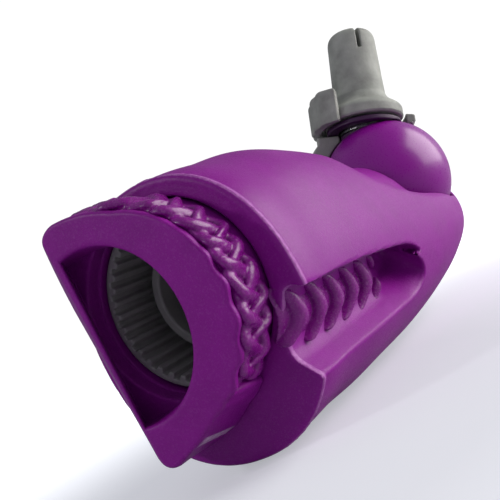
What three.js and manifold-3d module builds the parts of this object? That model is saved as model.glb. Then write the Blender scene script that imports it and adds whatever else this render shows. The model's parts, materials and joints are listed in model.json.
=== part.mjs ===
// Disposable prophy angle: a short moulded body with a D-shaped mouth, a fluted drive socket,
// a bevel gear pair behind a ball guard and a slotted post that carries the polishing cup.
// Millimetres. The drive axis runs along +Y and +Z is up, towards the cup side.
// The origin is the centre of the drive socket's front face, on the drive axis.
import * as THREE from "three";
import { mergeVertices } from "three/addons/utils/BufferGeometryUtils.js";
import Module from "manifold-3d";

const wasm = await Module();
wasm.setup();

// ---- driving dimensions ---------------------------------------------------------------------
const GAP = 0.3; // between pieces that touch in the turned head
const FIT = 0.1; // around a piece that sits in a straight bore or pocket
const ROUND = 40; // sides of a full circle on large pieces
const FINE = 20; // sides of a full circle on small pieces
const BALL_SIDES = [30, 18]; // round and down a sphere
const PAST = 1; // how far a cutter runs past the face that it cuts
const BEYOND = 40; // longer than the whole part

// body: top, bottom and half width of the section at each distance along the drive axis
const BODY_OUTLINE = [
  { y: 0.0, top: 5.05, bottom: -7.4, half: 5.6 },
  { y: 0.7, top: 5.2, bottom: -7.42, half: 5.7 },
  { y: 3.6, top: 5.45, bottom: -7.42, half: 5.7 },
  { y: 6.5, top: 5.7, bottom: -7.55, half: 5.75 },
  { y: 10.0, top: 5.35, bottom: -7.55, half: 5.75 },
  { y: 15.4, top: 4.15, bottom: -7.5, half: 5.7 },
  { y: 20.0, top: 2.6, bottom: -7.15, half: 5.6 },
  { y: 24.5, top: 1.3, bottom: -6.5, half: 5.4 },
  { y: 28.5, top: 0.8, bottom: -5.55, half: 4.85 },
  { y: 31.2, top: 0.5, bottom: -4.35, half: 3.75 },
  { y: 32.8, top: 0.0, bottom: -3.0, half: 2.4 },
  { y: 33.4, top: -1.0, bottom: -2.0, half: 0.8 },
];
const BODY_POWER = 2.2; // exponent of the section, a little squarer than an ellipse
const BODY_SIDES = 36;
const BODY_STEPS = 20;
const BODY_BORE = 4.4;
const BODY_BORE_END = 8.7;
const COVER = { x: -5.0, y: [3, 22], z: [-4.2, 2.6] }; // left side cover; x is its inner face
// the valley that crosses the body's upper right beside the ball, and the tube it leaves round the drive
const SCOOP = { x: 4.74, y: 22.24, z: 2.51, wide: 5.6, tall: 2.9, length: 20, keep: 3.2 };
const SCOOP_RIGHT = new THREE.Vector3(0.744, 0.476, -0.469);
const SCOOP_UP = new THREE.Vector3(0.426, 0.202, 0.882);
const PIN = { radius: 0.55, depth: 1.7, at: [13, 20.5], z: -0.6 };

// front hood and its D-shaped mouth
const HOOD = { front: -2.6, back: -0.1, flat: -2.65, top: 5.1, bottom: -6.0, corner: 0.9 };
// widening left of the pivot, and rising, from the front to the back
const HOOD_GROWTH = { pivot: -0.2, spread: 1.05, rise: 0.09 };
const HOOD_ARC = { x: -0.45, z: -0.26, r: 4.65, from: 70, to: -72 };
const HOOD_TRIM = { radius: 6.25, z: -0.45 }; // rounds off the hood's rear corners
const TAIL = { outer: 4.3, inner: 4.02, end: 4.0 };
const MOUTH = { back: -0.9, flat: -2.42, spread: 0.36 };
const MOUTH_ARC = { x: -1.86, z: -0.18, r: 3.83 };
const RECESS = { x: -0.15, radius: 4.02, front: -0.95, back: -0.2 };
const GROOVE = { x: -0.25, radius: 4.25, front: -2.1, from: 76, to: -62 };

// braided relief
const FRONT_CORD = { radius: 0.38, lanes: [-1.6, -0.72], from: 72, to: -58 };
const SIDE_CORD = { radius: 0.4, offset: 0.48, wave: 0.08, waves: 5.5, lift: 0.25 };
const CORD_STEPS = 30;
const CHANNEL_ANGLE = THREE.MathUtils.degToRad(33); // below the horizontal, on the right side
const CHANNEL_FLOOR = 5.0; // from the drive axis
const CHANNEL_REACH = 4; // how far the channel's cutter stands above its floor
const BRAID_PATH = { start: [-0.6, 0.3], end: [9.6, -0.6] }; // along the axis, across the channel

// drive train, along the drive axis
const SOCKET = { radius: 3.88, front: 0, back: 8.0, root: 3.62, tip: 3.4, flutes: 36, fluteEnd: 6.6 };
const BOSS = { front: 1.82, outer: 2.73, bore: 2.28 };
const SHAFT = { radius: 1.2, from: 5.9, end: 24.5, chamfer: 0.3 };
const FRONT_BUSH = { from: 8.8, to: 11.4, outer: 2.5 };
const REAR_BUSH = { from: 17.0, to: 20.2, outer: 2.5 };
const SPACER = { from: 11.6, to: 16.8, outer: 1.9, inner: 1.55 };
const SOCKET_WASHER = { from: 8.15, to: 8.5, outer: 3.4 };
const GEAR_WASHER = { from: 20.5, to: 20.8, outer: 2.0 };
const RETAINING_RING = { from: 21.1, to: 21.6, outer: 1.75 };
const TUNNEL = 2.6;
const GEAR_ROOM = { radius: 2.95, from: 20.4 };
const RUNNING = 0.06; // radial clearance round a turning shaft

// head: the rotor's axis leans back and to the right and meets the drive axis at HEAD_Y
const HEAD_Y = 26.0;
const LEAN = new THREE.Vector3(0.242, 0.28, 0.93).normalize();
const BALL = { centre: new THREE.Vector3(1.3, 26.9, 1.23), outer: 4.59, inner: 4.0, cut: -0.9 };
const BALL_FACING = new THREE.Vector3(0.45, -0.88, -0.1).normalize();
const TEETH = 12;
const GEAR = { outer: 2.75, inner: 1.7, back: 0.55 }; // cone distances and the back's thickness
const TOOTH = { addendum: 6.2, dedendum: 9.5, sink: 1.5, rootHalf: 7.4, tipHalf: 3.4 }; // degrees

// rotor and its housing: heights along the leaning axis from where it meets the drive axis
const POST = { base: 8.35, tip: 13.7, baseRadius: 1.95, tipRadius: 1.8, round: 0.55 };
const FLANGE = { bottom: 6.45, edge: 7.15, top: 8.3, radius: 3.02 };
const STEM = { radius: 1.1, bottom: 1.4 };
const SLOT = { width: 0.5, bottom: 11.7, azimuth: -55 };
const YOKE = { radius: 3.65, skirt: 4.3, skirtTop: 5.2, skirtEdge: 4.1, bottom: -2.4, top: 5.8 };
const YOKE_ROOM = 3.05; // radius of the gear room inside the yoke
const YOKE_REACH = { from: 40, to: 250 }; // azimuths of the part that lies behind the guard
const WALL = { inner: 3.2, outer: 3.95, bottom: 6.1, top: 7.5, slope: 0.3, from: -7, to: 235 };
const WALL_FACE = { azimuth: -14, distance: 3.6 }; // the flat that ends the wall at the front
const GROOVES = { count: 13, radius: 0.17 };
const CAP = { from: 5.9, to: 6.25, outer: 3.05 };
const CUP_BUSH = { from: 3.6, to: 5.6, outer: 1.85 };
const ROTOR_WASHER = { from: 5.75, to: 5.95, outer: 1.8 };
const SEAL = { from: 3.1, to: 3.4, outer: 1.7 };

// ---- colours and finishes -------------------------------------------------------------------
const finish = (color, roughness, metalness = 0) => () => {
  return new THREE.MeshStandardMaterial({ color, roughness, metalness });
};
const satinPurple = finish(0x6a1a78, 0.42);
const glossPurple = finish(0x761a86, 0.18);
const darkPurple = finish(0x2c1030, 0.5);
const greyPlastic = finish(0x6f7268, 0.6);
const whitePlastic = finish(0xd8d6cc, 0.4);
const blackRubber = finish(0x1c1c1e, 0.8);
const steel = finish(0xb4b6b8, 0.3, 0.9);

// ---- solids ---------------------------------------------------------------------------------
function solid(geometry) {
  const bare = geometry.index ? geometry.toNonIndexed() : geometry.clone();
  bare.deleteAttribute("normal");
  bare.deleteAttribute("uv");
  const merged = mergeVertices(bare, 1e-4);
  const vertProperties = new Float32Array(merged.attributes.position.array);
  const triVerts = new Uint32Array(merged.index.array);
  return new wasm.Manifold(new wasm.Mesh({ numProp: 3, vertProperties, triVerts }));
}

function joined(...solids) {
  return solids.reduce((sum, next) => sum.add(next));
}

// drops the slivers that a cut leaves beside the main piece
function largest(shape) {
  const pieces = shape.decompose();
  return pieces.reduce((best, next) => (next.volume() > best.volume() ? next : best));
}

function geometryOf(shape) {
  const mesh = shape.getMesh();
  const geometry = new THREE.BufferGeometry();
  geometry.setAttribute("position", new THREE.Float32BufferAttribute(mesh.vertProperties, 3));
  geometry.setIndex(Array.from(mesh.triVerts));
  geometry.computeVertexNormals();
  return geometry;
}

// a rod or a cone along the drive axis
function rod(radius, from, to, sides = ROUND, endRadius = radius) {
  const geometry = new THREE.CylinderGeometry(endRadius, radius, to - from, sides);
  geometry.translate(0, (from + to) / 2, 0);
  return solid(geometry);
}

function tube(outer, inner, from, to, sides = ROUND) {
  return rod(outer, from, to, sides).subtract(rod(inner, from - PAST, to + PAST, sides));
}

// a turned solid along the drive axis from [radius, distance] pairs that start and end on the axis
function turned(pairs, sides = FINE) {
  const points = pairs.map(([radius, along]) => new THREE.Vector2(radius, along));
  return solid(new THREE.LatheGeometry(points, sides));
}

function box(x, y, z) {
  const geometry = new THREE.BoxGeometry(x[1] - x[0], y[1] - y[0], z[1] - z[0]);
  geometry.translate((x[0] + x[1]) / 2, (y[0] + y[1]) / 2, (z[0] + z[1]) / 2);
  return solid(geometry);
}

function ball(radius, centre) {
  const geometry = new THREE.SphereGeometry(radius, ...BALL_SIDES);
  geometry.translate(centre.x, centre.y, centre.z);
  return solid(geometry);
}

// turns a solid built along +Y from its origin onto the leaning rotor axis
function leaned(shape) {
  const turn = new THREE.Quaternion().setFromUnitVectors(new THREE.Vector3(0, 1, 0), LEAN);
  const place = new THREE.Matrix4().makeRotationFromQuaternion(turn).setPosition(0, HEAD_Y, 0);
  return shape.transform(place.elements);
}

// everything on the far side of a plane, as a large block
function halfSpace(centre, facing, distance) {
  const geometry = new THREE.BoxGeometry(BEYOND, BEYOND, BEYOND);
  geometry.translate(0, 0, BEYOND / 2);
  const turn = new THREE.Quaternion().setFromUnitVectors(new THREE.Vector3(0, 0, 1), facing);
  geometry.applyQuaternion(turn);
  const offset = centre.clone().addScaledVector(facing, distance);
  geometry.translate(offset.x, offset.y, offset.z);
  return solid(geometry);
}

// ---- body -----------------------------------------------------------------------------------
function outlineCurve(key) {
  return new THREE.SplineCurve(BODY_OUTLINE.map((row) => new THREE.Vector2(row.y, row[key])));
}

// a closed barrel through the outline's sections
function bodyBarrel() {
  const top = outlineCurve("top");
  const bottom = outlineCurve("bottom");
  const half = outlineCurve("half");
  const geometry = new THREE.CylinderGeometry(1, 1, 1, BODY_SIDES, BODY_STEPS);
  const position = geometry.attributes.position;
  for (let i = 0; i < position.count; i++) {
    const t = position.getY(i) + 0.5;
    const radius = Math.hypot(position.getX(i), position.getZ(i));
    const angle = Math.atan2(position.getZ(i), position.getX(i));
    const upper = top.getPoint(t);
    const lower = bottom.getPoint(t).y;
    const across = Math.sign(Math.cos(angle)) * Math.abs(Math.cos(angle)) ** (2 / BODY_POWER);
    const upward = Math.sign(Math.sin(angle)) * Math.abs(Math.sin(angle)) ** (2 / BODY_POWER);
    const x = half.getPoint(t).y * across * radius;
    const z = (upper.y + lower) / 2 + ((upper.y - lower) / 2) * upward * radius;
    position.setXYZ(i, x, upper.x, z);
  }
  return solid(geometry);
}

// from (along, across) on the channel's floor to a point in the part's frame
function channelPoint(along, across, height) {
  const x = Math.cos(CHANNEL_ANGLE) * height + Math.sin(CHANNEL_ANGLE) * across;
  const z = -Math.sin(CHANNEL_ANGLE) * height + Math.cos(CHANNEL_ANGLE) * across;
  return new THREE.Vector3(x, along, z);
}

function channelCutter() {
  const shape = new THREE.Shape();
  shape.moveTo(-PAST, 1.65);
  shape.lineTo(1.5, 1.57);
  shape.quadraticCurveTo(7, 1.25, 12.4, 0.5);
  shape.bezierCurveTo(14.6, 0.1, 14.6, -1.45, 12.4, -1.55);
  shape.lineTo(2, -1.65);
  shape.lineTo(-PAST, -1.5);
  const settings = { depth: CHANNEL_REACH, bevelEnabled: false, curveSegments: 8 };
  const geometry = new THREE.ExtrudeGeometry(shape, settings);
  const position = geometry.attributes.position;
  for (let i = 0; i < position.count; i++) {
    const height = CHANNEL_FLOOR + position.getZ(i);
    const point = channelPoint(position.getX(i), position.getY(i), height);
    position.setXYZ(i, point.x, point.y, point.z);
  }
  return solid(geometry);
}

// the side cover's block, grown all round by a clearance for its seat
function coverBlock(clearance) {
  const y = [COVER.y[0] - clearance, COVER.y[1] + clearance];
  const z = [COVER.z[0] - clearance, COVER.z[1] + clearance];
  return box([COVER.x - BEYOND, COVER.x + clearance / 2], y, z);
}

function sidePin(y, radius, extra) {
  const geometry = new THREE.CylinderGeometry(radius, radius, PIN.depth + 2 * extra, FINE);
  geometry.rotateZ(Math.PI / 2);
  geometry.translate(COVER.x + FIT + PIN.depth / 2, y, PIN.z);
  return solid(geometry);
}

function headPocket() {
  const gearRoom = rod(GEAR_ROOM.radius, GEAR_ROOM.from, HEAD_Y + PAST);
  const yokeRoom = leaned(rod(YOKE.skirt + GAP, YOKE.bottom - GAP, POST.tip + PAST));
  const ballRoom = ball(BALL.outer + FIT, BALL.centre);
  return joined(gearRoom, yokeRoom, ballRoom);
}

function scoopCutter() {
  const geometry = new THREE.CylinderGeometry(1, 1, SCOOP.length, 2 * FINE);
  geometry.scale(SCOOP.wide, 1, SCOOP.tall);
  const along = new THREE.Vector3().crossVectors(SCOOP_UP, SCOOP_RIGHT);
  geometry.applyMatrix4(new THREE.Matrix4().makeBasis(SCOOP_RIGHT, along, SCOOP_UP));
  geometry.translate(SCOOP.x, SCOOP.y, SCOOP.z);
  return solid(geometry).subtract(rod(SCOOP.keep, 0, HEAD_Y, FINE));
}

function outerShell(barrel) {
  const bore = rod(BODY_BORE, -PAST, BODY_BORE_END);
  const tunnel = rod(TUNNEL, BODY_BORE_END - PAST, REAR_BUSH.to + PAST, FINE);
  const pins = PIN.at.map((y) => sidePin(y, PIN.radius + FIT, FIT));
  const opened = joined(headPocket(), channelCutter(), scoopCutter());
  const cuts = joined(bore, tunnel, opened, coverBlock(FIT), ...pins);
  return barrel.subtract(cuts);
}

// ---- hood -----------------------------------------------------------------------------------
const onArc = (arc, degrees) => {
  const angle = THREE.MathUtils.degToRad(degrees);
  return [arc.x + arc.r * Math.cos(angle), arc.z + arc.r * Math.sin(angle)];
};

function hoodShape() {
  const { flat, top, bottom, corner } = HOOD;
  const shape = new THREE.Shape();
  const [topX, topZ] = onArc(HOOD_ARC, HOOD_ARC.from);
  shape.moveTo(flat, bottom + corner);
  shape.lineTo(flat, top - corner);
  shape.quadraticCurveTo(flat, top, flat + corner, top);
  shape.quadraticCurveTo(-0.3, 4.95, topX, topZ);
  const from = THREE.MathUtils.degToRad(HOOD_ARC.from);
  const to = THREE.MathUtils.degToRad(HOOD_ARC.to);
  shape.absarc(HOOD_ARC.x, HOOD_ARC.z, HOOD_ARC.r, from, to, true);
  shape.lineTo(flat + corner, bottom + 0.1);
  shape.quadraticCurveTo(flat, bottom, flat, bottom + corner);
  return shape;
}

function mouthShape() {
  const { x, z, r } = MOUTH_ARC;
  const start = Math.acos((MOUTH.flat - x) / r);
  const shape = new THREE.Shape();
  shape.absarc(x, z, r, start, -start, true);
  shape.closePath();
  return shape;
}

// swaps two corners of every face, for a geometry that a remap has mirrored
function turnedInsideOut(geometry) {
  const flat = geometry.index ? geometry.toNonIndexed() : geometry;
  const array = flat.attributes.position.array;
  for (let i = 0; i < array.length; i += 9) {
    const second = array.slice(i + 3, i + 6);
    array.copyWithin(i + 3, i + 6, i + 9);
    array.set(second, i + 6);
  }
  return flat;
}

// a prism along the drive axis that spreads to the left of a line and rises towards the back
function spreadPrism(shape, from, to, right, spread, rise = 0) {
  const settings = { depth: to - from, bevelEnabled: false, curveSegments: 20 };
  const geometry = new THREE.ExtrudeGeometry(shape, settings);
  const position = geometry.attributes.position;
  for (let i = 0; i < position.count; i++) {
    const along = position.getZ(i);
    const stretch = 1 + (spread * along) / (to - from);
    const offset = position.getX(i) - right;
    const x = right + (offset < 0 ? offset * stretch : offset);
    const z = position.getY(i) * (1 + (rise * along) / (to - from));
    position.setXYZ(i, x, from + along, z);
  }
  return solid(turnedInsideOut(geometry));
}

// the groove round the hood's right side that the braided cords lie in
function braidGroove() {
  const ring = tube(2 * GROOVE.radius, GROOVE.radius, GROOVE.front, HOOD.back);
  const shape = new THREE.Shape();
  const from = THREE.MathUtils.degToRad(GROOVE.to);
  const to = THREE.MathUtils.degToRad(GROOVE.from);
  const reach = 3 * GROOVE.radius;
  shape.moveTo(0, 0);
  shape.lineTo(reach * Math.cos(from), reach * Math.sin(from));
  shape.absarc(0, 0, reach, from, to, false);
  const depth = HOOD.back - HOOD.front + 2 * PAST;
  const settings = { depth, bevelEnabled: false, curveSegments: 12 };
  const geometry = new THREE.ExtrudeGeometry(shape, settings);
  geometry.rotateX(Math.PI / 2);
  geometry.translate(0, HOOD.back + PAST, 0);
  return ring.intersect(solid(geometry)).translate(GROOVE.x, 0, 0);
}

function frontHood() {
  const { pivot, spread: widening, rise } = HOOD_GROWTH;
  const outer = spreadPrism(hoodShape(), HOOD.front, HOOD.back, pivot, widening, rise);
  const trim = rod(HOOD_TRIM.radius, HOOD.front - PAST, HOOD.back + PAST).translate(0, 0, HOOD_TRIM.z);
  const tail = rod(TAIL.outer, HOOD.back - FIT, TAIL.end);
  const mouthRight = MOUTH_ARC.x + MOUTH_ARC.r;
  const slope = MOUTH.spread / (MOUTH.back - HOOD.front);
  const mouthFrom = HOOD.front - FIT;
  const spread = slope * (MOUTH.back - mouthFrom);
  const mouth = spreadPrism(mouthShape(), mouthFrom, MOUTH.back, mouthRight, spread);
  const recess = rod(RECESS.radius, RECESS.front, RECESS.back).translate(RECESS.x, 0, 0);
  const bore = rod(TAIL.inner, RECESS.back - FIT, TAIL.end + PAST);
  const cuts = joined(mouth, recess, bore, braidGroove());
  return outer.intersect(trim).add(tail).subtract(cuts);
}

// ---- braids ---------------------------------------------------------------------------------
function cordAlong(points, radius) {
  const circle = new THREE.Shape();
  circle.absarc(0, 0, radius, 0, 2 * Math.PI, false);
  const path = new THREE.CatmullRomCurve3(points);
  const settings = { steps: CORD_STEPS, bevelEnabled: false, extrudePath: path, curveSegments: 4 };
  return solid(new THREE.ExtrudeGeometry(circle, settings));
}

// one cord of the relief that runs round the hood; lane is its distance along the drive axis
function frontCord(lane) {
  const points = [];
  for (let i = 0; i <= CORD_STEPS; i++) {
    const degrees = THREE.MathUtils.lerp(FRONT_CORD.from, FRONT_CORD.to, i / CORD_STEPS);
    const angle = THREE.MathUtils.degToRad(degrees);
    const radius = GROOVE.radius + FRONT_CORD.radius + FIT;
    const x = GROOVE.x + radius * Math.cos(angle);
    const z = radius * Math.sin(angle);
    points.push(new THREE.Vector3(x, lane, z));
  }
  return cordAlong(points, FRONT_CORD.radius);
}

// one cord of the braid in the side channel; side is +1 or -1
function sideCord(side) {
  const points = [];
  const [y0, v0] = BRAID_PATH.start;
  const [y1, v1] = BRAID_PATH.end;
  const height = CHANNEL_FLOOR + SIDE_CORD.radius + SIDE_CORD.lift;
  for (let i = 0; i <= CORD_STEPS; i++) {
    const t = i / CORD_STEPS;
    const along = THREE.MathUtils.lerp(y0, y1, t);
    const middle = THREE.MathUtils.lerp(v0, v1, t) + side * SIDE_CORD.offset;
    const wave = SIDE_CORD.wave * Math.sin(2 * Math.PI * SIDE_CORD.waves * t);
    points.push(channelPoint(along, middle + wave, height));
  }
  return cordAlong(points, SIDE_CORD.radius);
}

// ---- drive train ----------------------------------------------------------------------------
function flutedBore() {
  const { root, tip } = SOCKET;
  const flute = [[root, 0.1], [root, 0.5], [tip, 0.65], [tip, 0.95]]; // radius, part of the pitch
  const points = [];
  for (let i = 0; i < SOCKET.flutes; i++) {
    for (const [radius, part] of flute) {
      const angle = ((i + part) / SOCKET.flutes) * 2 * Math.PI;
      points.push(new THREE.Vector2(radius * Math.cos(angle), radius * Math.sin(angle)));
    }
  }
  const shape = new THREE.Shape(points);
  const settings = { depth: SOCKET.fluteEnd + PAST, bevelEnabled: false };
  const geometry = new THREE.ExtrudeGeometry(shape, settings);
  geometry.rotateX(Math.PI / 2);
  geometry.translate(0, SOCKET.fluteEnd, 0);
  return solid(geometry);
}

function driveSocket() {
  const cup = rod(SOCKET.radius, SOCKET.front, SOCKET.back).subtract(flutedBore());
  const boss = tube(BOSS.outer, BOSS.bore, BOSS.front, SOCKET.fluteEnd + FIT);
  const shaftHole = rod(SHAFT.radius + FIT, SOCKET.fluteEnd - PAST, SOCKET.back + PAST, FINE);
  return cup.add(boss).subtract(shaftHole);
}

// a bushing, spacer, washer or ring on the drive shaft
function shaftRing({ outer, from, to }, inner = SHAFT.radius + RUNNING) {
  return tube(outer, inner, from, to, FINE);
}

function driveShaft() {
  const { radius, from, end, chamfer } = SHAFT;
  return turned([
    [0, from],
    [radius - chamfer, from],
    [radius, from + chamfer],
    [radius, end],
    [0, end],
  ]);
}

// one bevel tooth: a tapered block whose edges all run to the apex of the gear's cone
function bevelTooth(turnAngle, pitchAngle) {
  const rad = THREE.MathUtils.degToRad;
  const rows = [
    [pitchAngle - rad(TOOTH.dedendum + TOOTH.sink), rad(TOOTH.rootHalf)],
    [pitchAngle + rad(TOOTH.addendum), rad(TOOTH.tipHalf)],
  ];
  const geometry = new THREE.BoxGeometry(1, 1, 1);
  const position = geometry.attributes.position;
  for (let i = 0; i < position.count; i++) {
    const distance = position.getX(i) > 0 ? GEAR.outer : GEAR.inner;
    const [cone, half] = position.getY(i) > 0 ? rows[1] : rows[0];
    const azimuth = turnAngle + (position.getZ(i) > 0 ? -half : half);
    const radius = distance * Math.sin(cone);
    position.setXYZ(i, radius * Math.cos(azimuth), distance * Math.cos(cone), radius * Math.sin(azimuth));
  }
  return solid(geometry);
}

// a bevel gear whose apex is where the two axes meet; outward points from there into the gear
function bevelGear(outward, other, boreRadius, phase) {
  const rad = THREE.MathUtils.degToRad;
  const pitchAngle = outward.angleTo(other) / 2;
  const root = pitchAngle - rad(TOOTH.dedendum);
  const backAt = GEAR.outer * Math.cos(root) + GEAR.back;
  const cone = turned([
    [0, GEAR.inner * Math.cos(root)],
    [GEAR.inner * Math.sin(root), GEAR.inner * Math.cos(root)],
    [GEAR.outer * Math.sin(root), GEAR.outer * Math.cos(root)],
    [GEAR.outer * Math.sin(root), backAt],
    [0, backAt],
  ]);
  const teeth = [];
  for (let i = 0; i < TEETH; i++) {
    teeth.push(bevelTooth(((i + phase) / TEETH) * 2 * Math.PI, pitchAngle));
  }
  const bore = rod(boreRadius, -PAST, backAt + PAST, FINE);
  const gear = joined(cone, ...teeth).subtract(bore);
  const contact = outward.clone().add(other).normalize();
  const across = contact.addScaledVector(outward, -contact.dot(outward)).normalize();
  const third = new THREE.Vector3().crossVectors(across, outward);
  const place = new THREE.Matrix4().makeBasis(across, outward, third).setPosition(0, HEAD_Y, 0);
  return gear.transform(place.elements);
}

const TOWARDS_SOCKET = new THREE.Vector3(0, -1, 0);

function driveGear() {
  return bevelGear(TOWARDS_SOCKET, LEAN, SHAFT.radius + FIT, 0);
}

function rotorGear() {
  return bevelGear(LEAN, TOWARDS_SOCKET, STEM.radius + FIT, 0.5);
}

// ---- head -----------------------------------------------------------------------------------
function headBall() {
  const skin = ball(BALL.outer, BALL.centre).subtract(ball(BALL.inner, BALL.centre));
  const front = skin.intersect(halfSpace(BALL.centre, BALL_FACING, BALL.cut));
  const gearRoom = rod(TUNNEL, GEAR_ROOM.from, HEAD_Y, FINE);
  const stemRoom = leaned(rod(CUP_BUSH.outer + FIT, 0, POST.tip, FINE));
  return front.subtract(gearRoom).subtract(stemRoom);
}

// the room that the guard's skin takes up, with its clearance
function guardRoom() {
  const front = halfSpace(BALL.centre, BALL_FACING, BALL.cut - FIT);
  const skin = ball(BALL.outer + FIT, BALL.centre).subtract(ball(BALL.inner - FIT, BALL.centre));
  return skin.intersect(front);
}

// azimuth round the rotor axis as an angle in the plane of its local x and -z:
// 0 degrees faces the socket end, positive turns towards the left side
const azimuthAngle = (degrees) => THREE.MathUtils.degToRad(270 - degrees);

// a block standing on the rotor axis between two azimuths
function wedge(from, to, bottom, top) {
  const shape = new THREE.Shape();
  shape.moveTo(0, 0);
  shape.absarc(0, 0, BEYOND, azimuthAngle(to), azimuthAngle(from), false);
  const geometry = new THREE.ExtrudeGeometry(shape, { depth: top - bottom, bevelEnabled: false });
  geometry.rotateX(-Math.PI / 2);
  geometry.translate(0, bottom, 0);
  return solid(geometry);
}

function rotorYoke() {
  const { radius, skirt, skirtTop, skirtEdge, bottom, top } = YOKE;
  const housing = turned([
    [0, bottom],
    [radius, bottom],
    [skirt, bottom + 1],
    [skirt, skirtEdge],
    [radius, skirtTop],
    [radius, top],
    [0, top],
  ], ROUND);
  const gears = ball(YOKE_ROOM, new THREE.Vector3());
  const bushBore = rod(CUP_BUSH.outer + FIT, 0, top + PAST, FINE);
  const body = leaned(housing.subtract(gears).subtract(bushBore));
  const behind = leaned(wedge(YOKE_REACH.from, YOKE_REACH.to, bottom - PAST, top + PAST));
  const kept = joined(ball(BALL.inner - FIT, BALL.centre), behind);
  const driveRoom = rod(GEAR_ROOM.radius, GEAR_ROOM.from - PAST, HEAD_Y);
  return largest(body.intersect(kept).subtract(driveRoom).subtract(guardRoom()));
}

// the ribbed wall that shields the flange, highest at the front and sloping down to the back
function flangeShield() {
  const ring = tube(WALL.outer, WALL.inner, WALL.bottom, POST.tip);
  const { from, to } = WALL;
  const topCentre = new THREE.Vector3(0, WALL.top, 0);
  const above = halfSpace(topCentre, new THREE.Vector3(0, 1, -WALL.slope).normalize(), 0);
  const wall = ring.intersect(wedge(from, to, 0, POST.tip)).subtract(above);
  const grooves = [];
  for (let i = 0; i < GROOVES.count; i++) {
    const angle = azimuthAngle(THREE.MathUtils.lerp(from, to, (i + 1) / GROOVES.count));
    const groove = rod(GROOVES.radius, 0, POST.tip, 8);
    grooves.push(groove.translate(WALL.outer * Math.cos(angle), 0, -WALL.outer * Math.sin(angle)));
  }
  const turn = THREE.MathUtils.radToDeg(azimuthAngle(WALL_FACE.azimuth));
  const width = [-WALL.outer, WALL.outer];
  const face = box([WALL_FACE.distance, 2 * WALL.outer], [0, POST.tip], width);
  return leaned(wall.subtract(joined(...grooves, face.rotate(0, turn, 0))));
}

// the purple plate that closes the yoke behind the guard
function capPlate() {
  const disc = leaned(tube(CAP.outer, CUP_BUSH.outer + FIT, CAP.from, CAP.to));
  const front = halfSpace(BALL.centre, BALL_FACING, BALL.cut - FIT);
  const room = ball(BALL.outer + FIT, BALL.centre).intersect(front);
  return largest(disc.subtract(room));
}

function cupRotor() {
  const { base, tip, baseRadius, tipRadius, round } = POST;
  const profile = [
    [0, STEM.bottom],
    [STEM.radius, STEM.bottom],
    [STEM.radius, FLANGE.bottom],
    [FLANGE.radius, FLANGE.bottom],
    [FLANGE.radius, FLANGE.edge],
    [baseRadius + 0.1, FLANGE.top],
    [baseRadius, base],
    [tipRadius, tip - round],
    [tipRadius - 0.12, tip - 0.2],
    [tipRadius - round, tip],
    [0, tip],
  ];
  const post = turned(profile, ROUND);
  const half = SLOT.width / 2;
  const reach = 2 * baseRadius;
  const slot = box([-reach, reach], [SLOT.bottom, tip + PAST], [-half, half]);
  const turn = THREE.MathUtils.radToDeg(azimuthAngle(SLOT.azimuth));
  return leaned(post.subtract(slot.rotate(0, turn, 0)));
}

// a bushing, washer or seal on the rotor's stem
function stemRing({ outer, from, to }) {
  return leaned(tube(outer, STEM.radius + RUNNING, from, to, FINE));
}

// ---- assembly -------------------------------------------------------------------------------
const barrel = bodyBarrel();
const part = new THREE.Group();

function place(name, shape, material) {
  const mesh = new THREE.Mesh(geometryOf(shape), material());
  mesh.name = name;
  part.add(mesh);
}

place("outer_shell", outerShell(barrel), satinPurple);
place("side_cover", barrel.intersect(coverBlock(0)), satinPurple);
PIN.at.forEach((y, i) => place(`cover_pin_${i + 1}`, sidePin(y, PIN.radius, 0), whitePlastic));
place("front_hood", frontHood(), satinPurple);
place("hood_braid_front", frontCord(FRONT_CORD.lanes[0]), glossPurple);
place("hood_braid_rear", frontCord(FRONT_CORD.lanes[1]), glossPurple);
place("side_braid_upper", sideCord(1), glossPurple);
place("side_braid_lower", sideCord(-1), glossPurple);

place("drive_socket", driveSocket(), greyPlastic);
place("drive_shaft", driveShaft(), greyPlastic);
place("drive_gear", driveGear(), whitePlastic);
place("front_bushing", shaftRing(FRONT_BUSH), whitePlastic);
place("rear_bushing", shaftRing(REAR_BUSH), whitePlastic);
place("bushing_spacer", shaftRing(SPACER, SPACER.inner), greyPlastic);
place("socket_thrust_washer", shaftRing(SOCKET_WASHER), steel);
place("gear_thrust_washer", shaftRing(GEAR_WASHER), steel);
place("shaft_retaining_ring", shaftRing(RETAINING_RING, SHAFT.radius + FIT), steel);

place("head_ball", headBall(), glossPurple);
place("rotor_yoke", rotorYoke(), greyPlastic);
place("flange_shield", flangeShield(), greyPlastic);
place("head_cap_plate", capPlate(), darkPurple);
place("cup_rotor", cupRotor(), greyPlastic);
place("rotor_gear", rotorGear(), whitePlastic);
place("rotor_bushing", stemRing(CUP_BUSH), darkPurple);
place("rotor_thrust_washer", stemRing(ROTOR_WASHER), steel);
place("rotor_seal_ring", stemRing(SEAL), blackRubber);

export default part;
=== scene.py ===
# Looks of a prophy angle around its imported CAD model.
# Shapes are given in millimetres and written in metres.
import math
import json
import bpy
import numpy as np
from mathutils import Matrix, Vector


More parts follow.
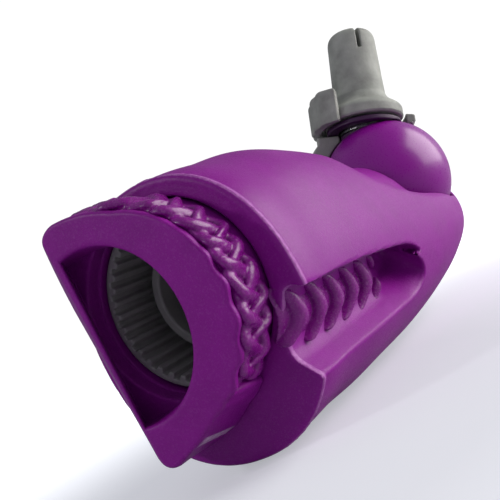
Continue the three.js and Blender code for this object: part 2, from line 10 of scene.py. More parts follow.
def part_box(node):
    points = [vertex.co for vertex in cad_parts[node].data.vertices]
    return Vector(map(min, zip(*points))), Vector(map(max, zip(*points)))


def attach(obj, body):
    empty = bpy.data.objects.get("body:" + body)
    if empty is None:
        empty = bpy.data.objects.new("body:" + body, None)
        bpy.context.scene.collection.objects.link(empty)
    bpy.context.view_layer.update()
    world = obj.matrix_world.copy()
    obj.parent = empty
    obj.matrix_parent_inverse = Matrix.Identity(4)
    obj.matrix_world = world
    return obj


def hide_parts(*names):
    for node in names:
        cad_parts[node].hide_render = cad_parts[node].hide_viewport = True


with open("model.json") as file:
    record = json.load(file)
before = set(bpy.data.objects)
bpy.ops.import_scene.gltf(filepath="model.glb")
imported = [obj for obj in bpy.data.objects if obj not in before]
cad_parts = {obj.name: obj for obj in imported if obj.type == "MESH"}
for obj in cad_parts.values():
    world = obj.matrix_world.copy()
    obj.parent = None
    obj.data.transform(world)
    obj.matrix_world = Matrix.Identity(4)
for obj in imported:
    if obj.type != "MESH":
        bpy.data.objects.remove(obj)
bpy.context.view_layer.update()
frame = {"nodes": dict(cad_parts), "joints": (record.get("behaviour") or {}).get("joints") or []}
MM = 0.001

# ---- driving dimensions, in millimetres -----------------------------------------------------
SHELL_LOW, SHELL_HIGH = (np.array(corner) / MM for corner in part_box("outer_shell"))
JOINTS = {joint["name"]: joint for joint in frame["joints"]}
HEAD = np.array(JOINTS["cup_spin"]["pos_m"]) / MM  # where the rotor axis meets the drive axis
LEAN = np.array(JOINTS["cup_spin"]["axis"])
LEAN = LEAN / np.linalg.norm(LEAN)

# body: distance along the drive axis, top, bottom and half width of the section there
BODY = np.array([
    (-1.0, 4.8, -7.38, 5.5),
    (0.0, 5.05, -7.4, 5.6),
    (0.7, 5.2, -7.42, 5.7),
    (3.6, 5.45, -7.42, 5.7),
    (6.5, 5.7, -7.55, 5.75),
    (10.0, 5.35, -7.55, 5.75),
    (15.4, 4.15, -7.5, 5.7),
    (20.0, 2.6, -7.15, 5.6),
    (24.5, 1.3, -6.5, 5.4),
    (28.5, 0.8, -5.55, 4.85),
    (31.2, 0.5, -4.35, 3.75),
    (32.8, 0.0, -3.0, 2.4),
    (33.5, -0.9, -2.1, 0.9),
])
BODY_POWER = 2.2
BORE = {"radius": 4.4, "end": 8.7}  # round the socket
TUNNEL = {"radius": 2.6, "end": 21.2}  # round the shaft
GEAR_ROOM = {"radius": 2.95, "from": 20.4, "to": 27}
CHANNEL_ANGLE = math.radians(33)
CHANNEL_FLOOR = 4.85
CHANNEL_TILT, CHANNEL_FLARE = 0.28, 0.34  # rise of the floor and spread of the lower side, per mm
CHANNEL_END = {"dip": 0.9, "from": 9.8, "to": 12.6}  # the deeper pocket behind the braid
SADDLE = {"radius": 4.62, "floor": -2.75, "bowl": 4.74}
RIM_BEAD = {"back": 0.17, "in": 0.06, "radius": 0.15}
BALL_CENTRE = np.array([1.3, 26.9, 1.23])
BALL_OUTER, BALL_INNER, BALL_CUT = 4.59, 4.0, -0.9
BALL_FACING = np.array([0.45, -0.88, -0.1]) / np.linalg.norm([0.45, -0.88, -0.1])


# ---- fields: signed distances in millimetres, negative inside -----------------------------
def smooth_max(a, b, k):
    """The larger of two fields, rounded over k where they meet."""
    h = np.maximum(k - np.abs(a - b), 0) / k
    return np.maximum(a, b) + h * h * k / 4


def smooth_min(a, b, k):
    return -smooth_max(-a, -b, k)


def slab(value, low, high):
    return np.abs(value - (low + high) / 2) - (high - low) / 2


def cylinder(a, b, radius):
    return np.hypot(a, b) - radius


def blend_in(value, low, high):
    """0 below low, 1 above high, smooth between."""
    t = np.clip((value - low) / (high - low), 0, 1)
    return t * t * (3 - 2 * t)


def through(knots, values):
    """A smooth curve through the values, as a function of the knot coordinate."""
    slopes = np.gradient(values, knots)

    def curve(at):
        at = np.clip(at, knots[0], knots[-1])
        i = np.clip(np.searchsorted(knots, at) - 1, 0, len(knots) - 2)
        width = knots[i + 1] - knots[i]
        t = (at - knots[i]) / width
        start = (1 + 2 * t) * (1 - t) ** 2 * values[i] + t * (1 - t) ** 2 * width * slopes[i]
        return start + t * t * (3 - 2 * t) * values[i + 1] + t * t * (t - 1) * width * slopes[i + 1]

    return curve


def outline(points, step=0.03, margin=1.0):
    """The signed distance to a closed outline of (u, v) points, as a function of u and v."""
    start = np.array(points, float)
    end = np.roll(start, -1, axis=0)
    low, high = start.min(0) - margin, start.max(0) + margin
    u = np.arange(low[0], high[0] + step, step)
    v = np.arange(low[1], high[1] + step, step)
    gu, gv = np.meshgrid(u, v, indexing="ij")
    best = np.full(gu.shape, 1e9)
    inside = np.zeros(gu.shape, bool)
    for (au, av), (bu, bv) in zip(start, end):
        du, dv = bu - au, bv - av
        length = du * du + dv * dv
        if length < 1e-12:
            continue
        t = np.clip(((gu - au) * du + (gv - av) * dv) / length, 0, 1)
        best = np.minimum(best, np.hypot(gu - au - t * du, gv - av - t * dv))
        if dv:
            crosses = ((av > gv) != (bv > gv)) & (gu < au + (gv - av) * du / dv)
            inside ^= crosses
    table = np.where(inside, -best, best).astype(np.float32)

    def field(pu, pv):
        cu, cv = np.clip(pu, u[0], u[-1]), np.clip(pv, v[0], v[-1])
        fu, fv = (cu - u[0]) / step, (cv - v[0]) / step
        iu = np.minimum(fu.astype(int), len(u) - 2)
        iv = np.minimum(fv.astype(int), len(v) - 2)
        tu, tv = fu - iu, fv - iv
        low_row = table[iu, iv] * (1 - tv) + table[iu, iv + 1] * tv
        high_row = table[iu + 1, iv] * (1 - tv) + table[iu + 1, iv + 1] * tv
        return low_row * (1 - tu) + high_row * tu + np.hypot(pu - cu, pv - cv)

    return field


def arc(x, z, radius, start, end, count):
    """Points on a circle from one angle to another, in degrees."""
    angles = np.radians(np.linspace(start, end, count))
    return [(x + radius * math.cos(a), z + radius * math.sin(a)) for a in angles]


def curve_points(start, *controls, count=12):
    """Points of a quadratic or cubic Bezier curve, without its first point."""
    chain = [np.array(p, float) for p in (start, *controls)]
    points = []
    for t in np.linspace(0, 1, count + 1)[1:]:
        level = chain
        while len(level) > 1:
            level = [a * (1 - t) + b * t for a, b in zip(level, level[1:])]
        points.append(tuple(level[0]))
    return points


# ---- meshes from fields -----------------------------------------------------------------------
CORNERS = [(i, j, k) for i in (0, 1) for j in (0, 1) for k in (0, 1)]
EDGES = [(a, b) for a in range(8) for b in range(a + 1, 8)
         if sum(abs(p - q) for p, q in zip(CORNERS[a], CORNERS[b])) == 1]


def net(values, low, step):
    """Vertices and quads of the surface where a grid of values changes sign."""
    inside = values < 0
    size = np.array(values.shape) - 1
    count = sum(inside[i:size[0] + i, j:size[1] + j, k:size[2] + k].astype(np.int8)
                for i, j, k in CORNERS)
    cells = np.argwhere((count > 0) & (count < 8))
    index = np.full(size, -1, np.int64)
    index[tuple(cells.T)] = np.arange(len(cells))
    at = [values[cells[:, 0] + i, cells[:, 1] + j, cells[:, 2] + k] for i, j, k in CORNERS]
    total = np.zeros((len(cells), 3))
    hits = np.zeros(len(cells))
    for a, b in EDGES:
        crossing = (at[a] < 0) != (at[b] < 0)
        t = np.where(crossing, at[a] / np.where(crossing, at[a] - at[b], 1), 0)
        point = np.array(CORNERS[a]) + t[:, None] * (np.array(CORNERS[b]) - np.array(CORNERS[a]))
        total += point * crossing[:, None]
        hits += crossing
    vertices = np.array(low) + step * (cells + total / hits[:, None])
    quads = []
    for axis in range(3):
        other = [(axis + 1) % 3, (axis + 2) % 3]
        here = [slice(1, n) for n in size]
        here[axis] = slice(0, size[axis])
        after = list(here)
        after[axis] = slice(1, size[axis] + 1)
        starts, ends = inside[tuple(here)], inside[tuple(after)]
        offset = np.array([s.start for s in here])
        for flip, where in ((False, starts & ~ends), (True, ~starts & ends)):
            base = np.argwhere(where) + offset
            ring = []
            for du, dv in ((0, 0), (1, 0), (1, 1), (0, 1)):
                cell = base.copy()
                cell[:, other[0]] -= du
                cell[:, other[1]] -= dv
                ring.append(index[tuple(cell.T)])
            quad = np.stack(ring, axis=1)
            quads.append(quad[:, ::-1] if flip else quad)
    return vertices, np.concatenate(quads)


def gradient(field, points, reach):
    """The field's slope at each point."""
    slope = np.zeros_like(points)
    for axis in range(3):
        shift = np.zeros(3)
        shift[axis] = reach
        ahead, behind = points + shift, points - shift
        slope[:, axis] = (field(*ahead.T) - field(*behind.T)) / (2 * reach)
    return slope


def carve(name, field, low, high, step, body, replaced, material):
    """A closed, smooth-shaded piece whose surface is where the field is zero."""
    low, high = np.array(low, float), np.array(high, float)
    count = np.ceil((high - low) / step).astype(int) + 1
    x, y, z = (low[i] + step * np.arange(count[i]) for i in range(3))
    values = field(x[:, None, None], y[None, :, None], z[None, None, :])
    values = np.broadcast_to(values, tuple(count)).astype(np.float32)
    vertices, quads = net(values, low, step)
    for _ in range(3):
        slope = gradient(field, vertices, 0.3 * step)
        size = np.maximum((slope * slope).sum(1), 0.05)
        move = -(field(*vertices.T) / size)[:, None] * slope
        length = np.maximum(np.linalg.norm(move, axis=1), 1e-9)
        move *= np.minimum(1, 0.3 * step / length)[:, None]
        vertices = vertices + move
    slope = gradient(field, vertices, 0.3 * step)
    normals = slope / np.maximum(np.linalg.norm(slope, axis=1), 1e-9)[:, None]
    mesh = bpy.data.meshes.new(name)
    mesh.vertices.add(len(vertices))
    mesh.vertices.foreach_set("co", (vertices * MM).astype(np.float32).ravel())
    mesh.loops.add(quads.size)
    mesh.loops.foreach_set("vertex_index", quads.astype(np.int32).ravel())
    mesh.polygons.add(len(quads))
    mesh.polygons.foreach_set("loop_start", np.arange(0, quads.size, 4, dtype=np.int32))
    mesh.update(calc_edges=True)
    mesh.polygons.foreach_set("use_smooth", np.ones(len(quads), bool))
    mesh.normals_split_custom_set_from_vertices(normals.tolist())
    mesh.materials.append(material)
    piece = bpy.data.objects.new(name, mesh)
    bpy.context.scene.collection.objects.link(piece)
    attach(piece, body)
    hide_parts(*replaced)
    print("piece", name, len(vertices), "vertices")
    return piece


# ---- materials ----------------------------------------------------------------------------------
def node(tree, kind, **inputs):
    made = tree.nodes.new(kind)
    for key, value in inputs.items():
        made.inputs[key.replace("_", " ")].default_value = value
    return made


def grain_coordinates(tree):
    """The surface's place in millimetres."""
    place = tree.nodes.new("ShaderNodeTexCoord")
    scale = tree.nodes.new("ShaderNodeVectorMath")
    scale.operation = "SCALE"
    scale.inputs["Scale"].default_value = 1 / MM
    tree.links.new(place.outputs["Object"], scale.inputs[0])
    return scale.outputs[0]


def ramp(tree, source, stops):
    """A colour ramp over a 0 to 1 value; stops are (position, colour)."""
    made = tree.nodes.new("ShaderNodeValToRGB")
    elements = made.color_ramp.elements
    while len(elements) < len(stops):
        elements.new(0.5)
    for element, (position, colour) in zip(elements, stops):
        element.position = position
        element.color = (*colour, 1)
    tree.links.new(source, made.inputs["Fac"])
    return made.outputs["Color"]


def spread(tree, source, low, high, to_low, to_high):
    made = node(tree, "ShaderNodeMapRange", From_Min=low, From_Max=high, To_Min=to_low, To_Max=to_high)
    tree.links.new(source, made.inputs["Value"])
    return made.outputs["Result"]


def vector_step(tree, operation, source, value=None):
    """One vector sum on a linked value; value is its second operand where it takes one."""
    made = tree.nodes.new("ShaderNodeVectorMath")
    made.operation = operation
    tree.links.new(source, made.inputs[0])
    if value is not None:
        made.inputs[1].default_value = value
    return made.outputs[0]


def number_step(tree, operation, first, second):
    """One sum of two linked numbers."""
    made = tree.nodes.new("ShaderNodeMath")
    made.operation = operation
    tree.links.new(first, made.inputs[0])
    tree.links.new(second, made.inputs[1])
    return made.outputs[0]


def plastic(name, colour, roughness, grain, mottle=0.12, sparkle=0.0, coat=0.0, grain_scale=9.0,
            specular=0.5):
    """Moulded plastic: soft mottling, fine moulded grain and, where asked, pearl flakes that bump the
    surface, some of them painted lighter as glints.
    """
    material = bpy.data.materials.new(name)
    material.use_nodes = True
    tree = material.node_tree
    shader = tree.nodes["Principled BSDF"]
    place = grain_coordinates(tree)
    cloud = node(tree, "ShaderNodeTexNoise", Scale=0.55, Detail=4.0, Roughness=0.6)
    tree.links.new(place, cloud.inputs["Vector"])
    dark = tuple(c * (1 - mottle) for c in colour)
    light = tuple(min(1, c * (1 + mottle)) for c in colour)
    base = ramp(tree, cloud.outputs["Fac"], [(0.3, dark), (0.7, light)])
    fine = node(tree, "ShaderNodeTexNoise", Scale=grain_scale, Detail=3.0, Roughness=0.65)
    tree.links.new(place, fine.inputs["Vector"])
    low, high = roughness - 0.06, roughness + 0.08
    tree.links.new(spread(tree, fine.outputs["Fac"], 0.3, 0.7, low, high), shader.inputs["Roughness"])
    height = fine.outputs["Fac"]
    if sparkle:
        flakes = node(tree, "ShaderNodeTexVoronoi", Scale=16.0)
        tree.links.new(place, flakes.inputs["Vector"])
        facet = tree.nodes.new("ShaderNodeSeparateColor")
        tree.links.new(flakes.outputs["Color"], facet.inputs["Color"])
        # flakes painted lighter in the colour: painted glints
        glint = spread(tree, facet.outputs["Red"], 0.7, 1.0, 0.0, sparkle)
        mix = tree.nodes.new("ShaderNodeMix")
        mix.data_type = "RGBA"
        mix.inputs["B"].default_value = (*[min(1, 0.25 + 1.9 * c) for c in colour], 1)
        tree.links.new(glint, mix.inputs["Factor"])
        tree.links.new(base, mix.inputs["A"])
        base = mix.outputs["Result"]
        height = number_step(tree, "ADD", height, facet.outputs["Green"])
    tree.links.new(base, shader.inputs["Base Color"])
    bump = node(tree, "ShaderNodeBump", Strength=grain, Distance=0.03 * MM)
    tree.links.new(height, bump.inputs["Height"])
    tree.links.new(bump.outputs["Normal"], shader.inputs["Normal"])
    shader.inputs["Specular IOR Level"].default_value = specular
    shader.inputs["Coat Weight"].default_value = coat
    shader.inputs["Coat Roughness"].default_value = 0.12
    return material


def painted_highlight(name, centre, half_size, colour, *finish, **more):
    """Plastic with a painted highlight: one block of it whitened and speckled, given by its centre and
    half size.
    """
    material = plastic(name, *finish, **more)
    tree = material.node_tree
    shader = tree.nodes["Principled BSDF"]
    offset = vector_step(tree, "SUBTRACT", grain_coordinates(tree), centre)
    share = vector_step(tree, "ABSOLUTE", vector_step(tree, "DIVIDE", offset, half_size))
    parts = tree.nodes.new("ShaderNodeSeparateXYZ")
    tree.links.new(share, parts.inputs[0])
    across = number_step(tree, "MAXIMUM", parts.outputs["X"], parts.outputs["Y"])
    farthest = number_step(tree, "MAXIMUM", across, parts.outputs["Z"])
    speckle = node(tree, "ShaderNodeTexNoise", Scale=6.0, Detail=2.0)
    tree.links.new(grain_coordinates(tree), speckle.inputs["Vector"])
    level = spread(tree, speckle.outputs["Fac"], 0.35, 0.65, 0.35, 0.8)
    inside = spread(tree, farthest, 0.8, 1.0, 1.0, 0.0)
    mix = tree.nodes.new("ShaderNodeMix")
    mix.data_type = "RGBA"
    mix.inputs["B"].default_value = (*colour, 1)
    tree.links.new(number_step(tree, "MULTIPLY", level, inside), mix.inputs["Factor"])
    tree.links.new(shader.inputs["Base Color"].links[0].from_socket, mix.inputs["A"])
    tree.links.new(mix.outputs["Result"], shader.inputs["Base Color"])
    return material


def brushed_steel(name):
    material = bpy.data.materials.new(name)
    material.use_nodes = True
    tree = material.node_tree
    shader = tree.nodes["Principled BSDF"]
    place = grain_coordinates(tree)
    stretch = node(tree, "ShaderNodeMapping", Scale=(2.0, 30.0, 2.0))
    tree.links.new(place, stretch.inputs["Vector"])
    lines = node(tree, "ShaderNodeTexNoise", Scale=3.0, Detail=5.0)
    tree.links.new(stretch.outputs["Vector"], lines.inputs["Vector"])
    base = ramp(tree, lines.outputs["Fac"], [(0.3, (0.42, 0.42, 0.43)), (0.7, (0.68, 0.68, 0.7))])
    tree.links.new(base, shader.inputs["Base Color"])
    tree.links.new(spread(tree, lines.outputs["Fac"], 0.3, 0.7, 0.22, 0.42), shader.inputs["Roughness"])
    bump = node(tree, "ShaderNodeBump", Strength=0.15, Distance=0.01 * MM)
    tree.links.new(lines.outputs["Fac"], bump.inputs["Height"])
    tree.links.new(bump.outputs["Normal"], shader.inputs["Normal"])
    shader.inputs["Metallic"].default_value = 1.0
    return material


PURPLE = (0.3, 0.006, 0.32)
SATIN = {"roughness": 0.38, "grain": 0.45, "mottle": 0.08, "sparkle": 0.06, "specular": 0.27}
HOOD_EDGE_HIGHLIGHT = ((-0.45, -1.3, -5.55), (0.32, 1.05, 0.5))  # centre and half size of a painted highlight along the hood's lower edge, low on the hood's side
RIM_HIGHLIGHT = ((0, 0.2, 0), (20, 0.15, 20))  # the painted highlight on the bevel round the body's front rim
# whitened, speckled colours of the painted highlights on the hood's lower edge and on the rim's bevel
HOOD_HIGHLIGHT_COLOUR, RIM_HIGHLIGHT_COLOUR = (0.85, 0.68, 0.86), (0.6, 0.22, 0.62)

satin_purple = plastic("satin_purple", PURPLE, **SATIN)
hood_purple = painted_highlight("hood_purple", *HOOD_EDGE_HIGHLIGHT, HOOD_HIGHLIGHT_COLOUR, PURPLE, **SATIN)
rim_purple = painted_highlight("rim_purple", *RIM_HIGHLIGHT, RIM_HIGHLIGHT_COLOUR, PURPLE, **SATIN)
# a darker, glossier purple than the body's: the darkness is painted shade on the braids
braid_purple = plastic("braid_purple", (0.25, 0.004, 0.26), 0.24, 0.4, mottle=0.08, sparkle=0.12,
                       coat=0.15, specular=0.45)
gloss_purple = plastic("gloss_purple", (0.28, 0.006, 0.31), 0.3, 0.05, mottle=0.05, coat=0.12,
                       specular=0.4)
# near-black purple, painted shade: the colour of the shadow under the flange and inside the head, given
# to the parts that sit there
dark_purple = plastic("dark_purple", (0.05, 0.008, 0.06), 0.5, 0.3)
grey_plastic = plastic("grey_plastic", (0.35, 0.365, 0.33), 0.5, 0.5, mottle=0.28, grain_scale=5.0,
                       specular=0.25)
socket_grey = plastic("socket_grey", (0.36, 0.37, 0.35), 0.4, 0.4, mottle=0.15, grain_scale=6.0,
                      specular=0.4)
white_plastic = plastic("white_plastic", (0.66, 0.64, 0.58), 0.4, 0.2, mottle=0.06)
black_rubber = plastic("black_rubber", (0.02, 0.02, 0.022), 0.7, 0.5, mottle=0.2)
steel = brushed_steel("steel")


# ---- body ---------------------------------------------------------------------------------------
top_curve, bottom_curve, half_curve = (through(BODY[:, 0], BODY[:, i]) for i in (1, 2, 3))


def barrel(x, y, z):
    top, bottom, half = top_curve(y), bottom_curve(y), half_curve(y)
    middle, tall = (top + bottom) / 2, (top - bottom) / 2
    across = np.abs(x) / half
    up = np.abs(z - middle) / tall
    size = (across ** BODY_POWER + up ** BODY_POWER + 1e-9) ** (1 / BODY_POWER)
    return smooth_max((size - 1) * np.minimum(half, tall) * 0.95, y - SHELL_HIGH[1], 0.8)


def channel_frame(x, z):
    """Height from the drive axis and place across the channel's floor."""
    c, s = math.cos(CHANNEL_ANGLE), math.sin(CHANNEL_ANGLE)
    return c * x - s * z, s * x + c * z


channel_outline = outline([
    (-3, 1.5), (0, 1.45),
    *curve_points((0, 1.45), (7, 1.35), (12.2, 0.75)),
    *curve_points((12.2, 0.75), (15.2, 0.3), (15.0, -1.3), (12.2, -1.45), count=16),
    (4, -1.42), (-3, -1.3),
])


def channel(x, y, z):
    height, across = channel_frame(x, z)
    pocket = CHANNEL_END["dip"] * blend_in(y, CHANNEL_END["from"], CHANNEL_END["to"])
    floor = CHANNEL_FLOOR + CHANNEL_TILT * np.clip(-across, 0, 2) - pocket
    flare = CHANNEL_FLARE * np.clip(height - CHANNEL_FLOOR, 0, 2.2) * (across < 0)
    sides = channel_outline(y + 0 * across, across + flare + 0 * y)
    return smooth_max(sides, floor - height, 0.5)


def leaned(x, y, z):
    """The rotor's own frame: (side, along, front), with along measured on the leaning axis."""
    return tuple(LEAN_FRAME[i][0] * (x - HEAD[0]) + LEAN_FRAME[i][1] * (y - HEAD[1])
                 + LEAN_FRAME[i][2] * (z - HEAD[2]) for i in range(3))


def lean_frame():
    axis = np.cross((0, 1, 0), LEAN)
    turn = Matrix.Rotation(math.acos(LEAN[1]), 3, Vector(axis))
    return [np.array(turn.col[i]) for i in range(3)]


LEAN_FRAME = lean_frame()


def saddle(x, y, z):
    """The hollow that the ball and the yoke sit in."""
    side, along, front = leaned(x, y, z)
    well = smooth_max(cylinder(side, front, SADDLE["radius"]), SADDLE["floor"] - along, 0.4)
    return smooth_min(well, ball_distance(x, y, z) - SADDLE["bowl"], 0.2)


# the tube round the drive train where the body's top is low, and the side cover's outline
COLLAR = {"radius": 3.35, "from": 17.5, "to": 24.0}
COVER = {"front": 3, "rear": 22, "low": -4.2, "high": 2.6, "left": -5.0}
PIN_HOLES = {"y": (13, 20.5), "z": -0.6, "radius": 0.65, "right": -3.1}
SCOOP = {"centre": (4.74, 22.24, 2.51), "wide": 5.6, "tall": 2.9, "length": 20, "keep": 3.4}
# the valley's directions across and up; it runs along their cross product
SCOOP_RIGHT = np.array([0.744, 0.476, -0.469])
SCOOP_UP = np.array([0.426, 0.202, 0.882])
SCOOP_ALONG = np.cross(SCOOP_UP, SCOOP_RIGHT)


def scoop(x, y, z):
    """The valley across the body's upper right beside the ball, less the tube round the drive."""
    cx, cy, cz = SCOOP["centre"]
    right_of, up_of, along_of = (a[0] * (x - cx) + a[1] * (y - cy) + a[2] * (z - cz)
                                 for a in (SCOOP_RIGHT, SCOOP_UP, SCOOP_ALONG))
    size = np.sqrt((right_of / SCOOP["wide"]) ** 2 + (up_of / SCOOP["tall"]) ** 2 + 1e-9)
    ends = np.abs(along_of) - SCOOP["length"] / 2
    valley = smooth_max((size - 1) * SCOOP["tall"], ends, 1.0)
    return smooth_max(valley, SCOOP["keep"] - np.hypot(x, z), 1.2)


def shell_inside(x, y, z):
    bore = np.maximum(cylinder(x, z, BORE["radius"]), y - BORE["end"])
    tunnel = np.maximum(cylinder(x, z, TUNNEL["radius"]), y - TUNNEL["end"])
    gears = cylinder(x, z, GEAR_ROOM["radius"])
    gears = np.maximum(gears, slab(y, GEAR_ROOM["from"], GEAR_ROOM["to"]))
    first, second = (np.hypot(y - at, z - PIN_HOLES["z"]) for at in PIN_HOLES["y"])
    pins = np.maximum(np.minimum(first, second) - PIN_HOLES["radius"], x - PIN_HOLES["right"])
    return np.minimum(np.minimum(bore, tunnel), np.minimum(gears, pins))


def cover_box(x, y, z, grown):
    lengthways = slab(y, COVER["front"] - grown, COVER["rear"] + grown)
    upright = slab(z, COVER["low"] - grown, COVER["high"] + grown)
    return smooth_max(smooth_max(lengthways, upright, 0.5), x - COVER["left"] - grown / 2, 0.1)


def outer_shell(x, y, z):
    side = barrel(x, y, z)
    chamfer = (side - y) * 0.7071 + 0.07
    shape = smooth_max(smooth_max(side, -y, 0.06), chamfer, 0.06)
    bead = np.hypot(y - RIM_BEAD["back"], side + RIM_BEAD["in"]) - RIM_BEAD["radius"]
    shape = smooth_min(shape, bead, 0.12)
    shape = smooth_max(shape, -channel(x, y, z), 0.16)
    shape = smooth_max(shape, -scoop(x, y, z), 0.6)
    reach = slab(y, COLLAR["from"], COLLAR["to"])
    collar = smooth_max(cylinder(x, z, COLLAR["radius"]), reach, 0.3)
    shape = smooth_min(shape, collar, 0.5)
    shape = smooth_max(shape, -saddle(x, y, z), 0.25)
    shape = np.maximum(shape, -cover_box(x, y, z, 0.1))
    return smooth_max(shape, -shell_inside(x, y, z), 0.16)


def side_cover(x, y, z):
    return smooth_max(barrel(x, y, z), cover_box(x, y, z, 0.0), 0.12)


# ---- hood ---------------------------------------------------------------------------------------
HOOD_FRONT, HOOD_BACK = -2.6, -0.1
HOOD_ARC = (-0.45, -0.26, 4.65)
HOOD_PIVOT, HOOD_SPREAD, HOOD_RISE = -0.2, 1.05, 0.09
MOUTH = {"x": -1.86, "z": -0.18, "radius": 3.83, "flat": -2.42, "spread": 0.36, "back": -0.9}
RECESS = {"x": -0.15, "radius": 4.02, "front": -0.95, "back": -0.2}
TAIL_RADIUS, TAIL_BACK = 4.3, 4.0
HOOD_ROUND = {"drop": 0.45, "radius": 6.25}  # the cylinder that rounds off the hood's corners
LOBES = {"height": 0.08, "count": 21, "phase": 0.8}
GROOVE_CENTRE, GROOVE_RADIUS = -0.25, 4.25

arc_start = arc(*HOOD_ARC, 70, 70, 1)[0]
hood_outline = outline([
    (-2.6, -5.1), (-2.9, 4.5),
    *curve_points((-2.9, 4.5), (-2.92, 5.15), (-2.0, 5.12), count=8),
    *curve_points((-2.0, 5.12), (-0.3, 4.95), arc_start, count=8),
    *arc(*HOOD_ARC, 68, -72, 50),
    *curve_points(arc(*HOOD_ARC, -72, -72, 1)[0], (0.1, -5.2), (-1.75, -5.9), count=8),
    *curve_points((-1.75, -5.9), (-2.6, -6.0), (-2.6, -5.1), count=8),
])
mouth_start = math.degrees(math.acos((MOUTH["flat"] - MOUTH["x"]) / MOUTH["radius"]))
mouth_outline = outline(arc(MOUTH["x"], MOUTH["z"], MOUTH["radius"], mouth_start, -mouth_start, 60))


def grown_back(x, y, pivot, spread_share, length):
    """x brought back to the front face of a prism that widens to the left of its pivot."""
    share = np.clip((y - HOOD_FRONT) / length, -0.2, 1.2)
    offset = x - pivot
    return pivot + np.where(offset < 0, offset / (1 + spread_share * share), offset)


def bezel_lobes(x, z):
    """How far the braid's lobes push out the lower right edge of the front face."""
    turn = np.arctan2(z - HOOD_ARC[1], x - HOOD_ARC[0])
    reach = blend_in(turn, -1.2, -0.9) * (1 - blend_in(turn, 0.1, 0.5))
    return LOBES["height"] * reach * np.cos(LOBES["count"] * turn + LOBES["phase"])


def front_hood(x, y, z):
    depth = HOOD_BACK - HOOD_FRONT
    flat_x = grown_back(x, y, HOOD_PIVOT, HOOD_SPREAD, depth)
    rise = 1 + HOOD_RISE * np.clip((y - HOOD_FRONT) / depth, 0, 1)
    edge = hood_outline(flat_x + 0 * z, z / rise + 0 * x) - bezel_lobes(x, z)
    shape = smooth_max(edge, slab(y, HOOD_FRONT, HOOD_BACK), 0.16)
    rounding = cylinder(x, z + HOOD_ROUND["drop"], HOOD_ROUND["radius"])
    shape = smooth_max(shape, rounding, 0.4)
    tail = smooth_max(cylinder(x, z, TAIL_RADIUS), slab(y, HOOD_BACK - 0.5, TAIL_BACK), 0.1)
    shape = np.minimum(shape, tail)
    mouth_right, mouth_back = MOUTH["x"] + MOUTH["radius"], MOUTH["back"]
    mouth_x = grown_back(x, y, mouth_right, MOUTH["spread"], mouth_back - HOOD_FRONT)
    ends = slab(y, HOOD_FRONT - 1.4, mouth_back)
    mouth = np.maximum(mouth_outline(mouth_x + 0 * z, z + 0 * mouth_x), ends)
    recess = cylinder(x - RECESS["x"], z, RECESS["radius"])
    recess = np.maximum(recess, slab(y, RECESS["front"], RECESS["back"]))
    bore = np.maximum(cylinder(x, z, RECESS["radius"]), -0.4 - y)
    shape = smooth_max(shape, -mouth, 0.22)
    shape = smooth_max(shape, -recess, 0.15)
    return smooth_max(smooth_max(shape, -bore, 0.1), -band_groove(x, y, z), 0.25)


# ---- braids -------------------------------------------------------------------------------------
def plait(along, across, height, width, lift, cord, period):
    """Three flat strands, cord = (half width, half height), plaited in chevrons along the braid."""
    half, thick = cord
    field = None
    for strand in range(3):
        phase = 2 * math.pi * (along / period + strand / 3)
        slope_across = width * 2 * math.pi / period * np.cos(phase)
        a = (across - width * np.sin(phase)) / np.sqrt(1 + slope_across ** 2)
        h = height + lift * np.sin(2 * phase)
        size = np.sqrt((a / half) ** 2 + (h / thick) ** 2 + 1e-9)
        strand_field = (size - 1) * thick
        field = strand_field if field is None else smooth_min(field, strand_field, 0.07)
    return field


def polyline_place(points):
    """Arc length and outward distance from an open path in the x-z plane, as a function of x and z."""
    path = np.array(points, float)
    lengths = np.concatenate([[0], np.cumsum(np.linalg.norm(np.diff(path, axis=0), axis=1))])

    def place(x, z):
        x, z = np.broadcast_arrays(x, z)
        best = np.full(x.shape, 1e9)
        along = np.zeros(x.shape)
        side = np.zeros(x.shape)
        for i in range(len(path) - 1):
            (ax, az), (bx, bz) = path[i], path[i + 1]
            dx, dz = bx - ax, bz - az
            length = math.hypot(dx, dz)
            t = ((x - ax) * dx + (z - az) * dz) / length ** 2
            if i > 0:
                t = np.maximum(t, 0)
            if i < len(path) - 2:
                t = np.minimum(t, 1)
            away = np.hypot(x - ax - t * dx, z - az - t * dz)
            nearer = away < best
            best = np.where(nearer, away, best)
            along = np.where(nearer, lengths[i] + t * length, along)
            side = np.where(nearer, np.sign((x - ax) * -dz + (z - az) * dx), side)
        return along, best * side

    return place, lengths[-1]


BAND_ARC = arc(GROOVE_CENTRE, 0, GROOVE_RADIUS, 84, -60, 60)
band_place, BAND_LENGTH = polyline_place([(-2.2, 4.75), (-1.2, 4.72), *BAND_ARC])
BAND_MIDDLE = -1.25  # along the drive axis
BAND_STRAIGHT = 3.2  # length over which the strands run side by side before they plait
BAND_PLAIT = {"width": 0.76, "lift": 0.1, "cord": (0.29, 0.22), "period": 2.9}


def band_groove(x, y, z):
    along, height = band_place(x, z)
    ends = slab(along, 1.9, BAND_LENGTH + 0.1)
    groove = smooth_max(smooth_max(ends, slab(y, -2.2, 0.5), 0.3), -height, 0.3)
    flange = smooth_max(cylinder(x, z, 4.42), -0.36 - y, 0.1)
    return np.maximum(groove, -flange)


BAND_BED = (-2.15, -0.2)  # front and back edge of the bed under the strands
BAND_FLOOR = -0.12


